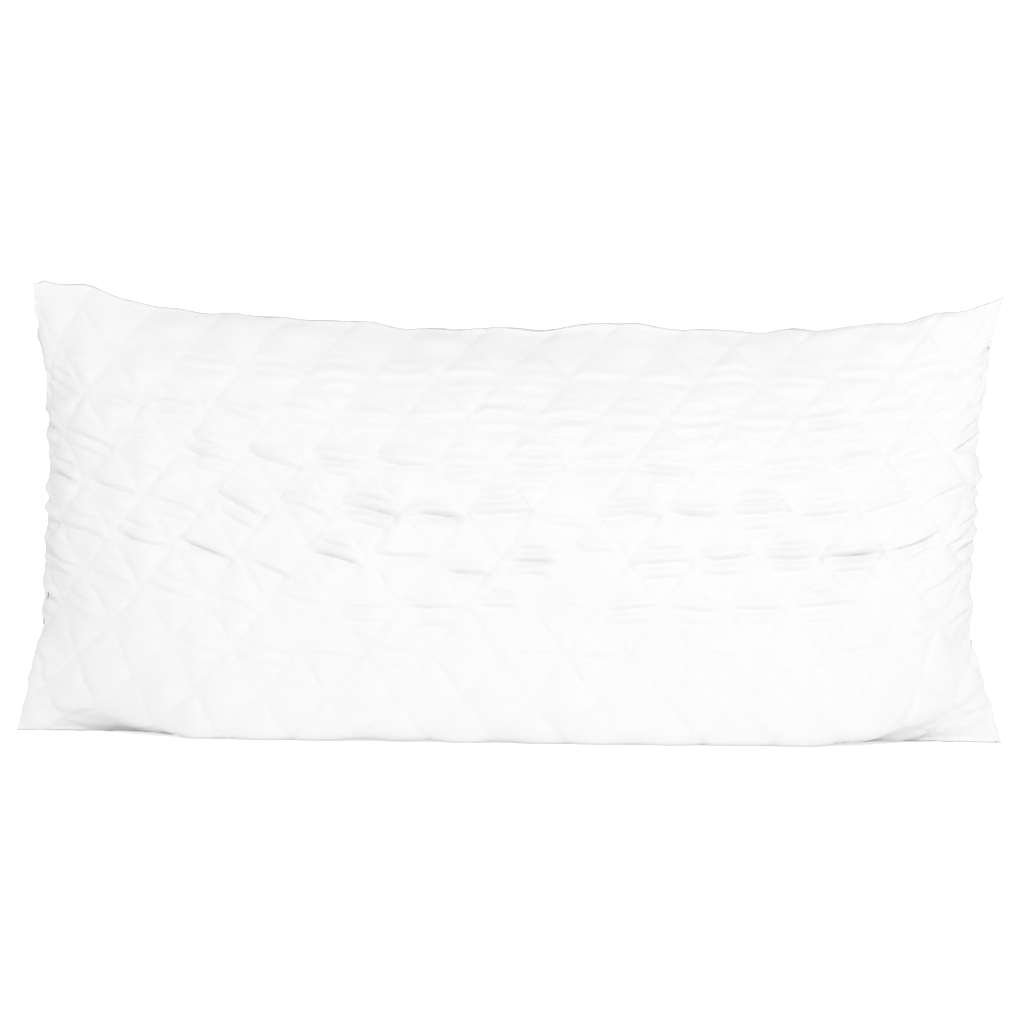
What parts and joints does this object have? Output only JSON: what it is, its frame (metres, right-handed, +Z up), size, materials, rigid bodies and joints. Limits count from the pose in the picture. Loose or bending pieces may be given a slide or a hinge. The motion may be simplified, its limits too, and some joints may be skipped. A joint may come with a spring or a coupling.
{
  "type": "bed pillow",
  "caption": "King-size bed pillow standing on its long edge: a fibre-filled insert in a white diamond-quilted cover with a zip in one short end.",
  "frame": {"origin": "middle of the flat sole that the pillow stands on, at floor level", "axes": "+X along the pillow towards the zipped end, -Y out of the front, +Z up"},
  "size_m": [0.896, 0.17, 0.407],
  "materials": {
    "quilted_fabric": "brushed microfibre",
    "batting": "soft fibre wadding",
    "lining": "plain nonwoven",
    "insert_casing": "plain weave",
    "fibre_fill": "soft fibre",
    "zip_tape": "woven tape",
    "zip_coil": "satin nylon",
    "zip_metal": "nickel plated",
    "care_label": "satin ribbon"
  },
  "bodies": {
    "pillow": {"cover_front_fabric": "quilted_fabric", "cover_back_fabric": "quilted_fabric", "cover_front_batting": "batting", "cover_back_batting": "batting", "cover_front_lining": "lining", "cover_back_lining": "lining", "insert_case_front": "insert_casing", "insert_case_back": "insert_casing", "fibre_fill": "fibre_fill", "zip_tape_front": "zip_tape", "zip_tape_back": "zip_tape", "zip_coil_front": "zip_coil", "zip_coil_back": "zip_coil", "zip_closed_stop_front": "zip_metal", "zip_closed_stop_back": "zip_metal", "zip_open_stop": "zip_metal", "care_label": "care_label"},
    "zip_slider": {"zip_slider_body": "zip_metal", "zip_slider_crown": "zip_metal"},
    "zip_pull": {"zip_pull_tab": "zip_metal"}
  },
  "joints": [
    {"name": "zip_slide", "type": "slide", "parent": "pillow", "child": "zip_slider", "axis": [0, 0, 1], "range_m": [0, 0.227]},
    {"name": "zip_pull_hinge", "type": "hinge", "parent": "zip_slider", "child": "zip_pull", "pos_m": [0.4171, 0, 0.08983], "axis": [0, -1, 0], "range_deg": [0, 170]}
  ]
}
